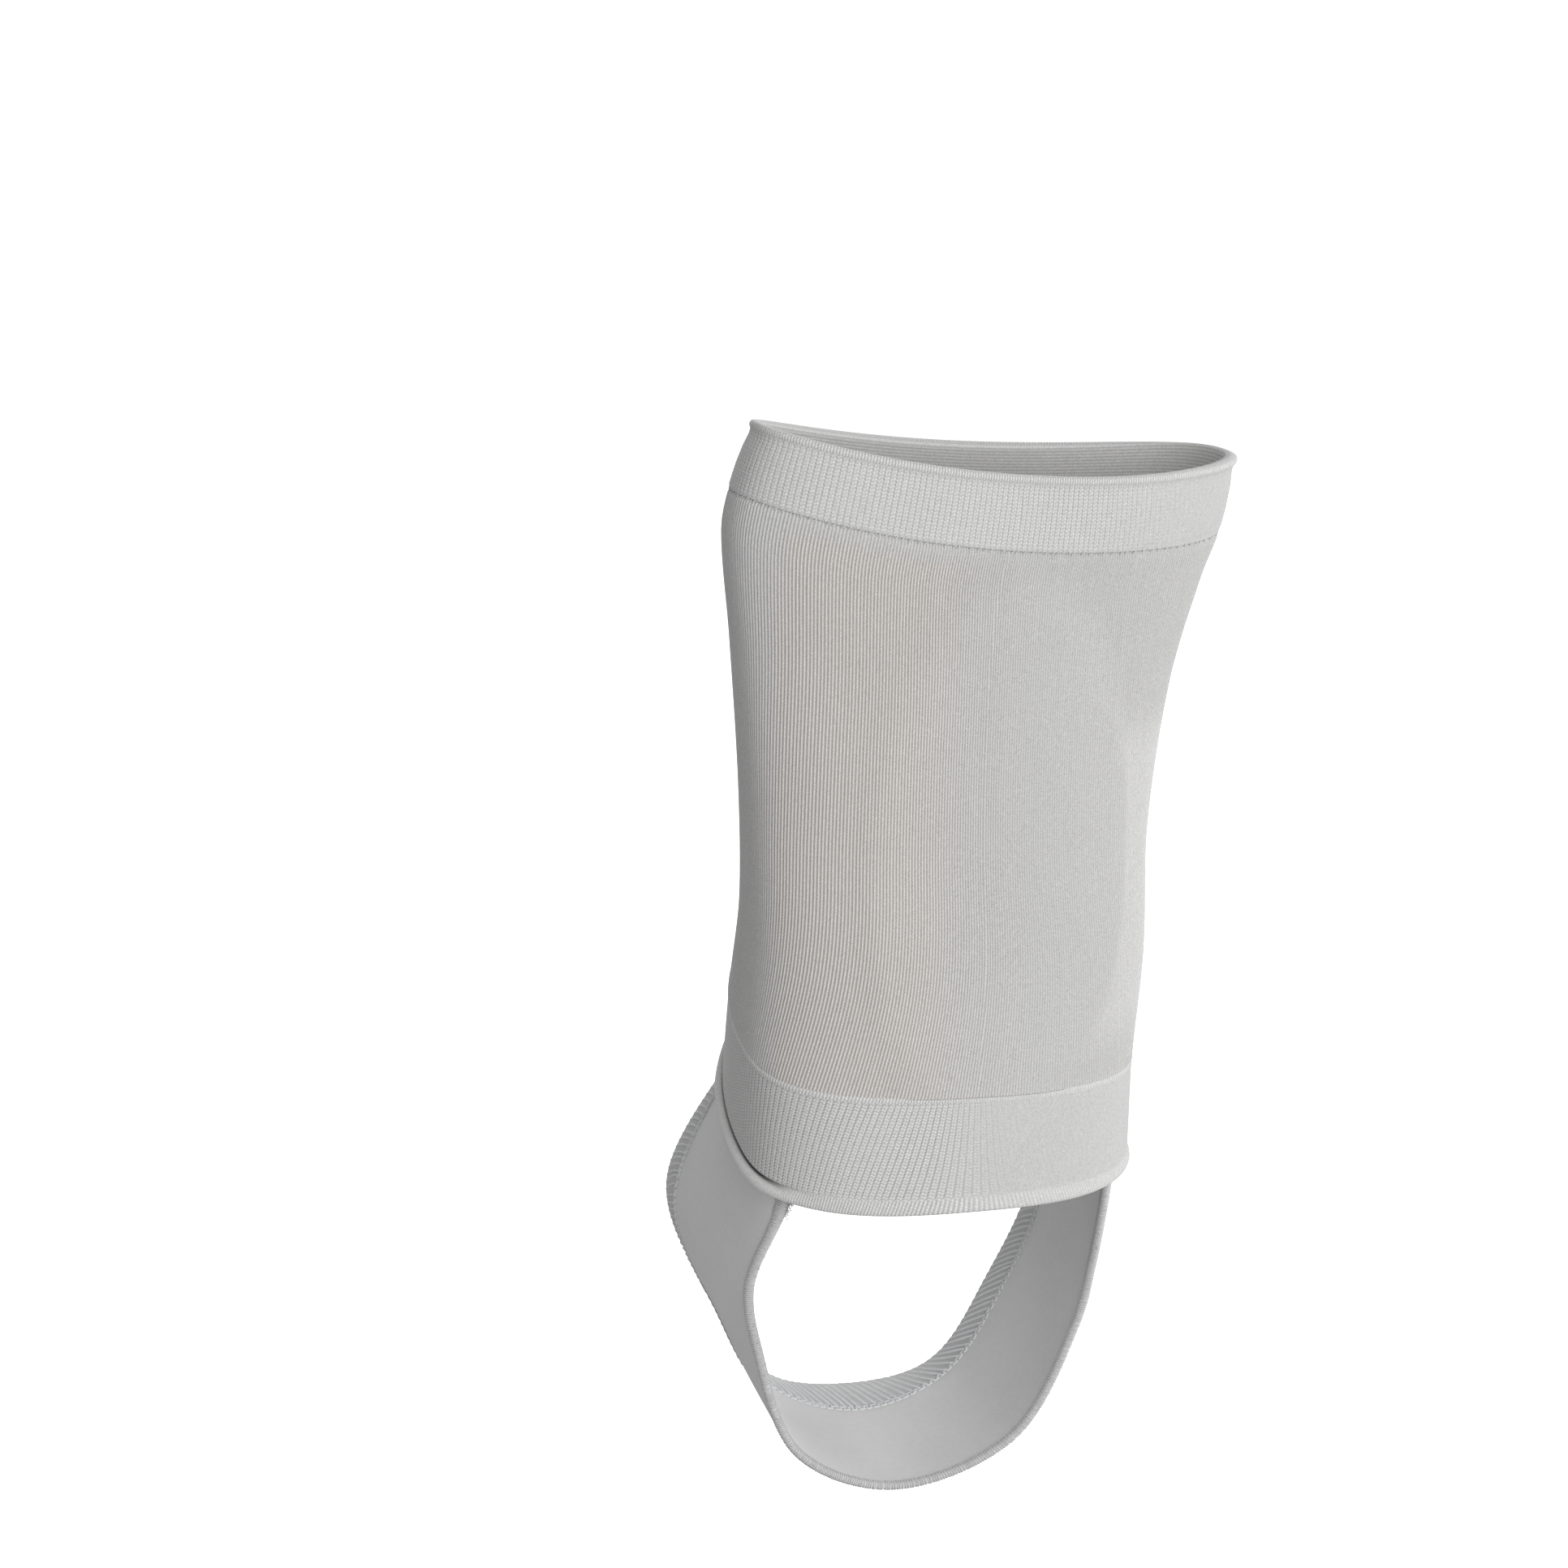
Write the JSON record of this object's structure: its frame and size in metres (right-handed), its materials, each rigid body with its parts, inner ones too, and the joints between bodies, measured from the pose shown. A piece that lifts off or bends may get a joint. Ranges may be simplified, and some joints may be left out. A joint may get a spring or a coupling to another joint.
{
  "type": "metatarsal gel pad sleeve",
  "caption": "Knitted midfoot sleeve in its worn shape, with a soft gel pad inside under the sole, ribbed cuffs at the toe and heel ends and a smooth strap round the heel.",
  "frame": {"origin": "middle of the hollow that the foot fills, half way along the sole", "axes": "+X to the big-toe side of a right foot, +Y to the instep, +Z to the toes"},
  "size_m": [0.0836, 0.0754, 0.1869],
  "materials": {
    "knit": "fine knit, matt",
    "cuff": "mesh knit, matt",
    "gel": "soft, satin",
    "strap": "smooth jersey, slight sheen"
  },
  "bodies": {
    "root": {"sleeve_body": "knit", "front_cuff": "cuff", "rear_cuff": "cuff", "gel_pad": "gel", "heel_strap": "strap"}
  },
  "joints": []
}
